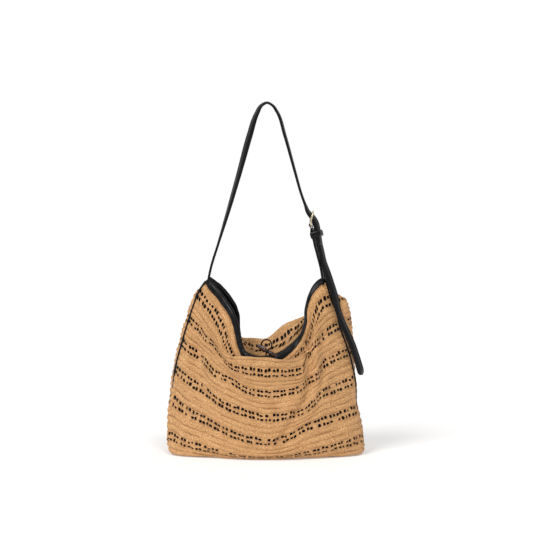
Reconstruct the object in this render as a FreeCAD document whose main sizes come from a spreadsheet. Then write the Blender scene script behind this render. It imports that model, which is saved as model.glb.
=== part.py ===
import FreeCAD, Part
import math
import os
import Sketcher

# Slouchy hobo bag: two crochet panels over an oval base, bound mouth, long buckled strap.
# Frame: origin on the floor under the middle of the base, +Z up, +X to the bag's
# right-hand end (the buckle end), the front panel facing -Y.  Millimetres.

V = FreeCAD.Vector
doc = FreeCAD.newDocument("hobo_bag")


# ---------------------------------------------------------------- driving dimensions
sheet = doc.addObject("Spreadsheet::Sheet", "Dimensions")
DIMENSIONS = {}


def dimension(alias, value):
    """Put one driving dimension in the sheet and keep its value for the code below."""
    row = len(DIMENSIONS) + 1
    sheet.set("A%d" % row, alias)
    sheet.set("B%d" % row, str(value))
    sheet.setAlias("B%d" % row, alias)
    DIMENSIONS[alias] = float(value)


# the bag's outer profile, from the floor up: height, half length, half depth
LEVELS = [
    (0, 180, 62),
    (25, 191, 75),
    (90, 192, 79),
    (165, 182, 70),
    (235, 163, 50),
    (300, 139, 29),
    (358, 118, 15),
]
for index, (height, half_length, half_depth) in enumerate(LEVELS):
    dimension("level%d_height" % index, height)
    dimension("level%d_half_length" % index, half_length)
    dimension("level%d_half_depth" % index, half_depth)

dimension("end_half_depth", 13)        # half width of the narrow flat ends
dimension("wall", 4)                   # crochet
dimension("trim_rise", 1.2)            # binding and piping stand this far off the crochet
dimension("lining_thickness", 1.2)
dimension("layer_gap", 0.3)             # air between sewn layers
dimension("base_thickness", 4)
dimension("board_thickness", 2)
dimension("board_inset", 12)
dimension("lining_lift", 0.4)           # air between the board and the lining's floor
dimension("piping_width", 3)
dimension("piping_start", 8)

dimension("beyond", 300)               # cutting blocks reach this far past the bag
dimension("binding_width", 11)
dimension("front_drop", 157)           # how far the front mouth edge sags below the corners
dimension("back_drop", 124)
dimension("pocket_width", 150)
dimension("pocket_bottom", 70)
dimension("pocket_height", 100)

dimension("strap_width", 20)
dimension("strap_thickness", 3)
dimension("strap_end_x", 113)          # where the strap's sewn ends flex
dimension("strap_end_height", 373)
dimension("strap_top_height", 716)
dimension("anchor_width", 15)
dimension("anchor_length", 40)
dimension("anchor_gap", 1.8)

dimension("leg_tilt", 14)              # lean of the buckle leg, degrees
dimension("leg_length", 95)            # flex line to heel bar
dimension("straight_above", 32)        # the strap lies straight this far above the heel bar
dimension("bar_clearance", 0.2)        # leather round the heel bar
dimension("bar_radius", 1.5)
dimension("rail_radius", 1.6)
dimension("frame_height", 24)          # heel bar to front bar
dimension("frame_half_width", 12.5)
dimension("fold_leather", 1.4)
dimension("return_length", 35)
dimension("prong_radius", 1.2)
dimension("prong_length", 28.5)
dimension("prong_eye_wall", 1.4)
dimension("prong_eye_width", 4.4)
dimension("prong_eye_play", 0.06)
dimension("prong_rest", 0.1)           # air between the prong and the front bar
dimension("slot_width", 5.2)           # slot for the prong in the folded leather
dimension("slot_below", 7)
dimension("slot_above", 10)
dimension("hole_play", 0.5)            # air round the prong in the strap's hole
dimension("hole_low", 3.5)             # the oblong hole's ends, above the heel bar
dimension("hole_high", 16)
dimension("keeper_height", 13)
dimension("keeper_drop", 19)           # heel bar to keeper middle
dimension("keeper_wall", 1.6)
dimension("sliding_gap", 0.3)
dimension("tail_drop", 47)             # heel bar to the line where the tail flexes

dimension("toggle_length", 46)
dimension("toggle_radius", 5.2)
dimension("toggle_neck_radius", 3)
dimension("toggle_tilt", 31.6)
dimension("cord_radius", 1.4)
dimension("cord_ring_radius", 10.5)
dimension("toggle_rise", 10)           # toggle middle above the front mouth edge
dimension("toggle_forward", 8.5)       # toggle middle in from the lining
dimension("tab_width", 12)             # leather patches that the cords are sewn to
dimension("tab_height", 12)
dimension("tab_thickness", 1.6)
dimension("tab_lift", 2)               # patch middle in from the lining
doc.recompute()


def size(alias):
    return DIMENSIONS[alias]


def bind(feature, **expressions):
    """Bind properties of a feature to the sheet, aliases written as plain words."""
    for prop, text in expressions.items():
        words = []
        for word in text.replace("(", " ( ").replace(")", " ) ").split():
            words.append("Dimensions." + word if word in DIMENSIONS else word)
        feature.setExpression(prop, " ".join(words))


# ---------------------------------------------------------------- small helpers
PARTS = []


def part(feature, node):
    """Name the feature that is one physical piece."""
    feature.Label = node
    PARTS.append(feature)
    return feature


def box(name, x, y, z):
    """A plain box between two corners given as (low, high) pairs."""
    block = doc.addObject("Part::Box", name)
    block.Length = x[1] - x[0]
    block.Width = y[1] - y[0]
    block.Height = z[1] - z[0]
    block.Placement.Base = V(x[0], y[0], z[0])
    return block


def cylinder(name, start, end, radius_alias):
    """A round bar from start to end whose radius is a sheet value."""
    bar = doc.addObject("Part::Cylinder", name)
    bind(bar, Radius=radius_alias)
    bar.Height = (end - start).Length
    bar.Placement = FreeCAD.Placement(start, FreeCAD.Rotation(V(0, 0, 1), end - start))
    return bar


def cut(name, base, tool):
    feature = doc.addObject("Part::Cut", name)
    feature.Base = base
    feature.Tool = tool
    return feature


def fuse(name, shapes):
    feature = doc.addObject("Part::MultiFuse", name)
    feature.Shapes = shapes
    return feature


def common(name, shapes):
    feature = doc.addObject("Part::MultiCommon", name)
    feature.Shapes = shapes
    return feature


def extrude(name, base, direction, length):
    feature = doc.addObject("Part::Extrusion", name)
    feature.Base = base
    feature.DirMode = "Custom"
    feature.Dir = direction
    feature.LengthFwd = length
    feature.Solid = True
    return feature


def shape_feature(name, shape):
    feature = doc.addObject("Part::Feature", name)
    feature.Shape = shape
    return feature


def half_depth_at(height):
    """Outer half depth of the bag at a height, straight between the levels."""
    for low, high in zip(LEVELS, LEVELS[1:]):
        if height <= high[0]:
            share = (height - low[0]) / (high[0] - low[0])
            return low[2] + share * (high[2] - low[2])
    return LEVELS[-1][2]


# ---------------------------------------------------------------- bag shell
def section(name, level, inset):
    """One level of the bag as a sketch: two shallow arcs joined by short flat ends."""
    half_length = size("level%d_half_length" % level) - inset
    half_depth = size("level%d_half_depth" % level) - inset
    end = size("end_half_depth") - inset
    sketch = doc.addObject("Sketcher::SketchObject", name)
    sketch.Placement.Base = V(0, 0, size("level%d_height" % level))
    corners = [V(-half_length, -end, 0), V(half_length, -end, 0)]
    corners += [V(half_length, end, 0), V(-half_length, end, 0)]
    front = Part.Arc(corners[0], V(0, -half_depth, 0), corners[1])
    back = Part.Arc(corners[2], V(0, half_depth, 0), corners[3])
    sketch.addGeometry(front, False)
    sketch.addGeometry(Part.LineSegment(corners[1], corners[2]), False)
    sketch.addGeometry(back, False)
    sketch.addGeometry(Part.LineSegment(corners[3], corners[0]), False)
    for first, second in ((0, 1), (1, 2), (2, 3), (3, 0)):
        ends = sketch.Geometry[first]
        start = 2 if (ends.EndPoint - sketch.Geometry[second].StartPoint).Length < 1e-6 else 1
        sketch.addConstraint(Sketcher.Constraint("Coincident", first, start, second, 1))
    sketch.addConstraint(Sketcher.Constraint("Vertical", 1))
    sketch.addConstraint(Sketcher.Constraint("Vertical", 3))
    sketch.addConstraint(Sketcher.Constraint("Symmetric", 1, 1, 3, 1, -1, 1))
    length = sketch.addConstraint(
        Sketcher.Constraint("DistanceX", 3, 2, 1, 1, 2 * half_length))
    width = sketch.addConstraint(Sketcher.Constraint("DistanceY", 1, 1, 1, 2, 2 * end))
    bow = half_depth - end
    radius = (bow * bow + half_length * half_length) / (2 * bow)
    arcs = [sketch.addConstraint(Sketcher.Constraint("Radius", arc, radius)) for arc in (0, 2)]
    half = "(Dimensions.level%d_half_length - %g)" % (level, inset)
    rise = "(Dimensions.level%d_half_depth - Dimensions.end_half_depth)" % level
    sketch.setExpression("Constraints[%d]" % length, "2 * %s" % half)
    sketch.setExpression("Constraints[%d]" % width, "2 * (Dimensions.end_half_depth - %g)" % inset)
    for arc in arcs:
        sketch.setExpression(
            "Constraints[%d]" % arc, "(%s^2 + %s^2) / (2 * %s)" % (rise, half, rise))
    return sketch


def bag_loft(name, inset):
    """The bag's outer form, moved inwards by inset all round."""
    sketches = []
    for level in range(len(LEVELS)):
        sketches.append(section("%s_level%d" % (name, level), level, inset))
    loft = doc.addObject("Part::Loft", name)
    loft.Sections = sketches
    loft.Solid = True
    loft.Ruled = False
    return loft


trim_depth = size("wall") + size("trim_rise")
lining_start = trim_depth + size("layer_gap")
lining_depth = lining_start + size("lining_thickness")
outer_form = bag_loft("outer_form", 0)
inner_form = bag_loft("inner_form", size("wall"))
trim_outer_form = bag_loft("trim_outer_form", -size("trim_rise"))
trim_inner_form = bag_loft("trim_inner_form", trim_depth)
lining_outer_form = bag_loft("lining_outer_form", lining_start)
lining_inner_form = bag_loft("lining_inner_form", lining_depth)
inside_form = bag_loft("inside_form", lining_depth + size("layer_gap"))
pocket_inner_form = bag_loft("pocket_inner_form", lining_depth + size("lining_thickness"))

crochet_wall = cut("crochet_wall", outer_form, inner_form)
trim_wall = cut("trim_wall", trim_outer_form, trim_inner_form)
lining_wall = cut("lining_wall", lining_outer_form, lining_inner_form)
pocket_wall = cut("pocket_wall", inside_form, pocket_inner_form)

# blocks that select the front, the back and the seam strips of a wall
TOP = LEVELS[-1][0]
BEYOND = size("beyond")
SPAN = (-BEYOND, BEYOND)
seam = size("piping_width") / 2
floor_gap = size("base_thickness")
front_block = box("front_block", SPAN, (-BEYOND, -seam), (floor_gap, TOP))
back_block = box("back_block", SPAN, (seam, BEYOND), (floor_gap, TOP))
lining_bottom = floor_gap + size("board_thickness") + size("lining_lift")
upper_block = box("upper_block", SPAN, SPAN, (lining_bottom, TOP))


# ---------------------------------------------------------------- mouth
# the sagging mouth edge: half width, and share of the full drop below the corners
MOUTH = [(114, -0.01), (84, 0.35), (70, 0.67), (56, 0.88), (34, 0.98)]


def mouth_face(drop, spread):
    """The region above the mouth edge in the X-Z plane, its edge moved outwards by spread."""
    left = [V(-x, 0, TOP - share * drop) for x, share in MOUTH]
    right = [V(-point.x, 0, point.z) for point in reversed(left)]
    points = left + [V(0, 0, TOP - drop)] + right
    edge = Part.BSplineCurve()
    edge.interpolate(points)
    moved = []
    for point in points:
        along = edge.tangent(edge.parameter(point))[0]
        moved.append(point + V(along.z, 0, -along.x) * spread)
    edge.interpolate(moved)
    lift = V(0, 0, BEYOND)
    rim = Part.makePolygon([moved[-1], moved[-1] + lift, moved[0] + lift, moved[0]])
    return Part.Face(Part.Wire([edge.toShape()] + rim.Edges))


def mouth_cutters(name, drop, direction):
    """Prisms of the open mouth, of the mouth with its binding, and of what the crochet leaves."""
    prisms = []
    width = size("binding_width")
    for kind, spread in (("opening", 0), ("bound", width), ("crochet", width + size("layer_gap"))):
        outline = shape_feature("%s_%s" % (name, kind), mouth_face(drop, spread))
        prisms.append(extrude("%s_%s_prism" % (name, kind), outline, direction, BEYOND))
    return prisms


front_cutter, front_bound_cutter, front_crochet_cutter = mouth_cutters(
    "front_mouth", size("front_drop"), V(0, -1, 0))
back_cutter, back_bound_cutter, back_crochet_cutter = mouth_cutters(
    "back_mouth", size("back_drop"), V(0, 1, 0))

front_wall = common("front_wall", [crochet_wall, front_block])
back_wall = common("back_wall", [crochet_wall, back_block])
part(cut("front_panel_cut", front_wall, front_crochet_cutter), "front_panel")
part(cut("back_panel_cut", back_wall, back_crochet_cutter), "back_panel")

front_band = common("front_band", [trim_wall, front_block, front_bound_cutter])
back_band = common("back_band", [trim_wall, back_block, back_bound_cutter])
part(cut("front_binding_cut", front_band, front_cutter), "front_mouth_binding")
part(cut("back_binding_cut", back_band, back_cutter), "back_mouth_binding")

# the side seams' piping: a thin strip of leather between the panels, up each end
for side, x in (("left", (-BEYOND, 0)), ("right", (0, BEYOND))):
    strip = box(side + "_strip", x, (-seam, seam), (size("piping_start"), TOP))
    part(common(side + "_piping", [trim_wall, strip]), side + "_seam_piping")

# lining: inner skin open at the mouth, closed by its own floor
lining_open = cut("lining_front_open", common("lining_sides", [lining_wall, upper_block]),
                  front_bound_cutter)
lining_sides = cut("lining_back_open", lining_open, back_bound_cutter)
lining_floor_block = box("lining_floor_block", SPAN, SPAN,
                         (lining_bottom, lining_bottom + size("lining_thickness")))
lining_floor = common("lining_floor", [lining_outer_form, lining_floor_block])
part(fuse("lining_fuse", [lining_sides, lining_floor]), "lining")

pocket_block = box("pocket_block",
                   (-size("pocket_width") / 2, size("pocket_width") / 2), (seam, BEYOND),
                   (size("pocket_bottom"), size("pocket_bottom") + size("pocket_height")))
part(common("pocket", [pocket_wall, pocket_block]), "slip_pocket")

# base: crochet oval that stands on the floor, and the stiffener lying on it
base_block = box("base_block", SPAN, SPAN, (0, floor_gap))
part(common("base", [outer_form, base_block]), "base_panel")
board_face = shape_feature("board_face", Part.Face(Part.Wire(Part.Ellipse(
    V(0, 0, 0), size("level0_half_length") - size("board_inset"),
    size("level0_half_depth") - size("board_inset")).toShape())))
board_face.Placement.Base = V(0, 0, floor_gap)
part(extrude("board", board_face, V(0, 0, 1), size("board_thickness")), "base_board")


# ---------------------------------------------------------------- strap ends on the bag
def strap_anchor(side, sign):
    """The sewn-in leather end that stands in the bag's corner under the strap."""
    top = size("strap_end_height") - size("strap_width") / 2 - size("anchor_gap")
    half = size("strap_thickness") / 2
    tab = doc.addObject("Part::Box", side + "_tab")
    bind(tab, Length="strap_thickness", Width="anchor_width", Height="anchor_length")
    middle = sign * (size("strap_end_x") - half)
    tab.Placement.Base = V(middle - half, -size("anchor_width") / 2,
                           top - size("anchor_length"))
    inside = common(side + "_tab_inside", [tab, inside_form])
    above = common(side + "_tab_above", [tab, box(
        side + "_above_block", SPAN, SPAN, (TOP, BEYOND + TOP))])
    part(fuse(side + "_anchor", [inside, above]), side + "_strap_anchor")


strap_anchor("left", -1)
strap_anchor("right", 1)

# ---------------------------------------------------------------- buckle leg, in its own frame
# Leg frame: origin on the flex line, +Z up along the leg, +X outwards, +Y as the bag's.
tilt = math.radians(size("leg_tilt"))
leg = FreeCAD.Placement(
    V(size("strap_end_x"), 0, size("strap_end_height")),
    FreeCAD.Rotation(V(0, 1, 0), -size("leg_tilt")))
half_width = size("strap_width") / 2
half_strap = size("strap_thickness") / 2
heel = V(-0.5, 0, size("leg_length"))                   # the heel bar, just inside the leg's middle
fold_radius = size("bar_radius") + size("bar_clearance") + size("fold_leather")
# middle of the long strap on the leg
strap_line = heel.x + fold_radius + size("bar_clearance") + half_strap
front_bar_x = strap_line + half_strap + size("sliding_gap") + size("rail_radius")
front_bar = V(front_bar_x, 0, size("leg_length") + size("frame_height"))
across = V(0, 1, 0)
leg_out = V(math.cos(tilt), 0, -math.sin(tilt))         # face normal at the strap's left end

leather = box("leg_leather", (-half_strap, half_strap), (-half_width, half_width),
              (0, size("leg_length")))
round_end = cylinder("leg_round_end", V(-half_strap, 0, 0), V(half_strap, 0, 0),
                     "strap_width / 2")
fold = doc.addObject("Part::Cylinder", "leg_fold")
fold.Radius = fold_radius
fold.Height = size("strap_width")
fold.Placement = FreeCAD.Placement(heel - across * half_width,
                                   FreeCAD.Rotation(V(0, 0, 1), across))
returned = box("leg_return", (heel.x - fold_radius, -half_strap), (-half_width, half_width),
               (size("leg_length") - size("return_length"), size("leg_length")))
bore = doc.addObject("Part::Cylinder", "leg_bore")
bind(bore, Radius="bar_radius + bar_clearance")
bore.Height = 3 * size("strap_width")
bore.Placement = FreeCAD.Placement(heel - across * bore.Height.Value / 2,
                                   FreeCAD.Rotation(V(0, 0, 1), across))
prong_slot = box("leg_prong_slot", (-size("strap_width"), size("strap_width")),
                 (-size("slot_width") / 2, size("slot_width") / 2),
                 (size("leg_length") - size("slot_below"), size("leg_length") + size("slot_above")))
leg_solid = fuse("leg_solid", [leather, round_end, fold, returned])
leg_bored = cut("leg_bored", leg_solid, bore)
buckle_strap = part(cut("leg_slotted", leg_bored, prong_slot), "buckle_strap")
buckle_strap.Placement = leg

reach = across * size("frame_half_width")
rails = [cylinder("heel_bar", heel - reach, heel + reach, "bar_radius")]
rails.append(cylinder("front_bar", front_bar - reach, front_bar + reach, "rail_radius"))
for name, offset in (("near", -reach), ("far", reach)):
    rails.append(cylinder(name + "_rail", heel + offset, front_bar + offset, "rail_radius"))
    for corner_name, corner in (("heel", heel), ("front", front_bar)):
        ball = doc.addObject("Part::Sphere", "%s_%s_corner" % (name, corner_name))
        bind(ball, Radius="rail_radius")
        ball.Placement.Base = corner + offset
        rails.append(ball)
buckle_frame = part(fuse("frame", rails), "buckle_frame")
buckle_frame.Placement = leg

to_bar = front_bar - heel
rest_gap = size("rail_radius") + size("prong_radius") + size("prong_rest")
lean = math.atan2(to_bar.x, to_bar.z) + math.asin(rest_gap / to_bar.Length)
prong_tip = heel + V(math.sin(lean), 0, math.cos(lean)) * size("prong_length")
prong_eye = doc.addObject("Part::Cylinder", "prong_eye")
bind(prong_eye, Radius="bar_radius + prong_eye_wall", Height="prong_eye_width")
prong_eye.Placement = FreeCAD.Placement(heel - across * size("prong_eye_width") / 2,
                                        FreeCAD.Rotation(V(0, 0, 1), across))
eye_bore = doc.addObject("Part::Cylinder", "prong_eye_bore")
bind(eye_bore, Radius="bar_radius + prong_eye_play", Height="strap_width")
eye_bore.Placement = FreeCAD.Placement(heel - across * half_width,
                                       FreeCAD.Rotation(V(0, 0, 1), across))
prong_rod = cylinder("prong_rod", heel, prong_tip, "prong_radius")
prong_point = doc.addObject("Part::Sphere", "prong_point")
bind(prong_point, Radius="prong_radius")
prong_point.Placement.Base = prong_tip
prong_solid = fuse("prong_solid", [prong_eye, prong_rod, prong_point])
buckle_prong = part(cut("prong", prong_solid, eye_bore), "buckle_prong")
buckle_prong.Placement = leg

# keeper: flat leather loop round the leg and the long strap
keeper_middle = size("leg_length") - size("keeper_drop")
stack = (heel.x - fold_radius - size("sliding_gap"),
         strap_line + half_strap + size("sliding_gap"))
room = half_width + size("sliding_gap")
shell = size("keeper_wall")
keeper_ends = (keeper_middle - size("keeper_height") / 2,
               keeper_middle + size("keeper_height") / 2)
keeper_outer = box("keeper_outer", (stack[0] - shell, stack[1] + shell),
                   (-room - shell, room + shell), keeper_ends)
keeper_inner = box("keeper_inner", stack, (-room, room), (0, 2 * size("leg_length")))
keeper = part(cut("keeper", keeper_outer, keeper_inner), "keeper_loop")
keeper.Placement = leg

# ---------------------------------------------------------------- long strap
tail_flex = V(strap_line, 0, size("leg_length") - size("tail_drop"))
straight_top = size("leg_length") + size("straight_above")
leg_entry = leg.multVec(V(strap_line, 0, straight_top))
leg_down = leg.Rotation.multVec(V(0, 0, -1))
flex = V(-size("strap_end_x"), 0, size("strap_end_height"))
crown = size("strap_top_height") - half_strap
left_up = V(math.sin(tilt), 0, math.cos(tilt))

# the strap's run over the top: sewn end, left leg, rounded crown, right leg
ARCH = [flex, V(-97, 0, 436), V(-69, 0, 528), V(-42, 0, 622), V(-21, 0, 691), V(0, 0, crown),
        V(21, 0, 691), V(43, 0, 624), V(68, 0, 543), leg_entry]
arch_curve = Part.BSplineCurve()
arch_curve.interpolate(Points=ARCH, InitialTangent=left_up, FinalTangent=leg_down)


def strap_sweep(name, route, start, along):
    """Sweep the strap's flat section along a route in the X-Z plane."""
    spine = shape_feature(name + "_route", route)
    flat = doc.addObject("Part::Plane", name + "_section")
    bind(flat, Length="strap_thickness", Width="strap_width")
    turn = FreeCAD.Rotation(V(0, 0, 1), along)
    flat.Placement = FreeCAD.Placement(start, turn)
    corner = V(half_strap, half_width, 0)
    flat.Placement.Base = start - turn.multVec(corner)
    sweep = doc.addObject("Part::Sweep", name)
    sweep.Sections = [flat]
    sweep.Spine = (spine, ["Edge%d" % (n + 1) for n in range(len(spine.Shape.Edges))])
    sweep.Solid = True
    sweep.Frenet = False
    return sweep


def strap_hole(name, low, high):
    """An oblong hole through the long strap, between two heights on the buckle leg."""
    radius = size("prong_radius") + size("hole_play")
    x = (strap_line - size("strap_thickness"), strap_line + size("strap_thickness"))
    slot = box(name + "_slot", x, (-radius, radius), (low, high))
    ends = []
    for index, height in enumerate((low, high)):
        end = doc.addObject("Part::Cylinder", "%s_end%d" % (name, index))
        end.Radius = radius
        end.Height = x[1] - x[0]
        end.Placement = FreeCAD.Placement(V(x[0], 0, height), FreeCAD.Rotation(V(0, 0, 1), V(1, 0, 0)))
        ends.append(end)
    hole = fuse(name, [slot] + ends)
    hole.Placement = leg
    return hole


arch = strap_sweep("arch", Part.Wire([arch_curve.toShape()]), flex, left_up)
straight = box("straight", (strap_line - half_strap, strap_line + half_strap),
               (-half_width, half_width),
               (tail_flex.z + half_strap + size("sliding_gap"), straight_top))
straight.Placement = leg.multiply(straight.Placement)
left_round = cylinder("left_round", flex - leg_out * half_strap, flex + leg_out * half_strap,
                      "strap_width / 2")
strap_solid = fuse("strap_solid", [arch, straight, left_round])
prong_hole = strap_hole("prong_hole", size("leg_length") + size("hole_low"),
                        size("leg_length") + size("hole_high"))
part(cut("strap_punched", strap_solid, prong_hole), "long_strap")

# ---------------------------------------------------------------- tail
flex_point = leg.multVec(tail_flex)
TAIL = [flex_point, V(122, 0, 375), V(137, 0, 326), V(153, 0, 277), V(165, 0, 244),
        V(181, 0, 205), V(195, 0, 167)]
tail_curve = Part.BSplineCurve()
tail_curve.interpolate(Points=TAIL, InitialTangent=leg_down, FinalTangent=V(0.3, 0, -0.95))
tail_sweep = strap_sweep("tail_run", Part.Wire([tail_curve.toShape()]), flex_point, leg_down)
tail_end = doc.addObject("Part::Cylinder", "tail_round_end")
bind(tail_end, Radius="strap_thickness / 2", Height="strap_width")
tail_end.Placement = FreeCAD.Placement(flex_point - across * half_width,
                                       FreeCAD.Rotation(V(0, 0, 1), across))
part(fuse("tail", [tail_sweep, tail_end]), "strap_tail")


# ---------------------------------------------------------------- closure
def closure_tab(name, y, height):
    """A small leather patch on the lining that a cord is sewn to."""
    half = size("tab_width") / 2
    depth = size("tab_thickness") / 2
    tab = box(name + "_patch", (-half, half), (y - depth, y + depth),
              (height - size("tab_height"), height))
    return part(tab, name)


front_edge = TOP - size("front_drop")
back_edge = TOP - size("back_drop")
front_inside = -(half_depth_at(front_edge) - lining_depth)
loop_top = back_edge - 8                                # the loop's patch sits below the binding
back_inside = half_depth_at(loop_top) - lining_depth
cord = size("cord_radius")
ring = size("cord_ring_radius")
closure_tab("toggle_tab", front_inside + size("tab_lift"), front_edge - 2)
closure_tab("loop_tab", back_inside - size("tab_lift"), loop_top)

# toggle: a turned horn peg with a waist, its axis leaning down to the right
toggle_body = doc.addObject("PartDesign::Body", "toggle_body")
toggle_sketch = toggle_body.newObject("Sketcher::SketchObject", "toggle_profile")
for plane in toggle_body.Origin.OriginFeatures:
    if plane.Role == "XZ_Plane":
        toggle_sketch.AttachmentSupport = [(plane, "")]
toggle_sketch.MapMode = "FlatFace"
half_toggle = size("toggle_length") / 2
belly = size("toggle_radius")
waist = size("toggle_neck_radius")
profile = [V(-half_toggle, 0, 0), V(-half_toggle, 2.4, 0), V(-half_toggle + 2, 3.6, 0),
           V(-half_toggle * 0.4, belly, 0), V(-half_toggle * 0.14, waist, 0)]
profile += [V(-point.x, point.y, 0) for point in reversed(profile)]
for start, end in zip(profile, profile[1:] + profile[:1]):
    toggle_sketch.addGeometry(Part.LineSegment(start, end), False)
count = len(profile)
for edge in range(count):
    toggle_sketch.addConstraint(
        Sketcher.Constraint("Coincident", edge, 2, (edge + 1) % count, 1))
turned = toggle_body.newObject("PartDesign::Revolution", "toggle_turned")
turned.Profile = toggle_sketch
turned.ReferenceAxis = (toggle_sketch, ["H_Axis"])
turned.Angle = 360
toggle_y = front_inside + size("toggle_forward")
toggle_middle = V(2, toggle_y, front_edge + size("toggle_rise"))
toggle_body.Placement = FreeCAD.Placement(
    toggle_middle, FreeCAD.Rotation(V(0, 1, 0), size("toggle_tilt")))
part(toggle_body, "toggle")


def torus(name, middle, axis, ring_radius):
    loop = doc.addObject("Part::Torus", name)
    loop.Radius1 = ring_radius
    bind(loop, Radius2="cord_radius")
    loop.Placement = FreeCAD.Placement(middle, FreeCAD.Rotation(V(0, 0, 1), axis))
    return loop


# toggle cord: a wrap round the toggle's waist, the slack ring over it and the sewn stub,
# all one leather cord formed round, with the stub's end sewn down
toggle_axis = toggle_body.Placement.Rotation.multVec(V(1, 0, 0))
wrap = torus("toggle_wrap", toggle_middle, toggle_axis, waist + cord + 0.1)
ring_y = toggle_y + waist + 2.6 * cord
slack = torus("slack_ring", V(0, ring_y, toggle_middle.z + 2 + ring), across, ring)
stub_end = V(-2, front_inside + 4.6, front_edge - 3)
stub = cylinder("toggle_stub", V(0, ring_y, toggle_middle.z + 2), stub_end, "cord_radius")
part(fuse("toggle_cord_fuse", [wrap, slack, stub]), "toggle_cord")

# loop that the toggle buttons into, hanging inside from the back edge
loop_middle = V(0, back_inside - 5, loop_top - 2 - ring)
part(torus("hanging_loop", loop_middle, across, ring), "closure_loop")

# ---------------------------------------------------------------- checks and export
doc.recompute()
for feature in doc.Objects:
    if "Invalid" in feature.State or "Error" in feature.State:
        raise RuntimeError("%s failed: %s" % (feature.Name, feature.State))
for feature in PARTS:
    shape = feature.Shape
    if shape.isNull() or not shape.isValid() or shape.Volume <= 0:
        raise RuntimeError("%s has no valid solid" % feature.Label)

os.makedirs("parts", exist_ok=True)
for feature in PARTS:
    feature.Shape.exportStep(os.path.join("parts", feature.Label + ".step"))
    print("%-22s %10.0f mm3  %d solid(s)" % (
        feature.Label, feature.Shape.Volume, len(feature.Shape.Solids)))
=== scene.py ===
import math

import bpy
import numpy as np
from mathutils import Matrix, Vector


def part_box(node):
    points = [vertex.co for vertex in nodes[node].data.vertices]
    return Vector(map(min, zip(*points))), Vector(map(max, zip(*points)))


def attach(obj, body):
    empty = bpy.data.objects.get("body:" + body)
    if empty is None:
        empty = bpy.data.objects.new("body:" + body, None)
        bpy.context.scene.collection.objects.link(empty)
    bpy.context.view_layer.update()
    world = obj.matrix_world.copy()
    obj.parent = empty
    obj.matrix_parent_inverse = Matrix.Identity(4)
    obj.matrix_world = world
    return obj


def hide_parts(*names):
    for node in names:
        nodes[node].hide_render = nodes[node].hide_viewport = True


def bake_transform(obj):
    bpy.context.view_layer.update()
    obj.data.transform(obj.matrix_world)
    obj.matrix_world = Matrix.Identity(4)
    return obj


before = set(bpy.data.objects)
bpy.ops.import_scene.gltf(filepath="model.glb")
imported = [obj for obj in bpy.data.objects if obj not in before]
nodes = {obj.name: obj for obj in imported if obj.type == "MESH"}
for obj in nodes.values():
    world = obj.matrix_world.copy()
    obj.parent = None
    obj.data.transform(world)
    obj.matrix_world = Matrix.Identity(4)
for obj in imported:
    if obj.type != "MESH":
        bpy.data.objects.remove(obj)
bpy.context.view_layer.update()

MM = 0.001
rng = np.random.default_rng(7)

# ---------------------------------------------------------------- camera, floor and light

EYE = (0.0, -2.0, 0.38)
LENS = 66.4
SENSOR = 36.0
SURROUND = 0.47
FLOOR_SIZE = 6.0
FLOOR_STEPS = 12
FLOOR_GLOW = 0.20

# Each light: its direction, how wide it is in degrees, and its strength.
LIGHTS = {
    "key": ((-1.5, -1.7, 1.9), 26, 1.45),
    "fill": ((1.2, -1.2, 1.6), 60, 0.05),
    "top": ((0.5, -1.1, 1.6), 16, 0.65),
}


def make_camera():
    """A level camera two metres in front of the bag."""
    data = bpy.data.cameras.new("camera")
    data.lens = LENS
    data.sensor_width = SENSOR
    camera = bpy.data.objects.new("camera", data)
    camera.location = EYE
    camera.rotation_euler = (math.radians(90), 0, 0)
    bpy.context.scene.collection.objects.link(camera)
    bpy.context.scene.camera = camera


def soft_light(name, place, width, strength):
    """A far soft light from place towards the bag, as wide as width in degrees."""
    data = bpy.data.lights.new(name, "SUN")
    data.angle = math.radians(width)
    data.energy = strength
    light = bpy.data.objects.new(name, data)
    light.location = place
    x, y, z = place
    light.rotation_euler = (math.atan2(math.hypot(x, y), z), 0, math.atan2(x, -y))
    bpy.context.scene.collection.objects.link(light)


def make_light():
    """White surroundings, a large key from the upper left, a weak fill and a smaller top light."""
    world = bpy.data.worlds.new("studio")
    bpy.context.scene.world = world
    world.use_nodes = True
    tree = world.node_tree
    soft = tree.nodes["Background"]
    soft.inputs["Color"].default_value = (1.0, 1.0, 1.0, 1.0)
    soft.inputs["Strength"].default_value = SURROUND
    seen = tree.nodes.new("ShaderNodeBackground")
    path = tree.nodes.new("ShaderNodeLightPath")
    choice = tree.nodes.new("ShaderNodeMixShader")
    tree.links.new(path.outputs["Is Camera Ray"], choice.inputs["Fac"])
    tree.links.new(soft.outputs["Background"], choice.inputs[1])
    tree.links.new(seen.outputs["Background"], choice.inputs[2])
    tree.links.new(choice.outputs["Shader"], tree.nodes["World Output"].inputs["Surface"])
    seen.inputs["Color"].default_value = (1.0, 1.0, 1.0, 1.0)
    for name, (place, width, strength) in LIGHTS.items():
        soft_light(name, place, width, strength)
    bpy.context.scene.view_settings.view_transform = "Standard"


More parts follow.
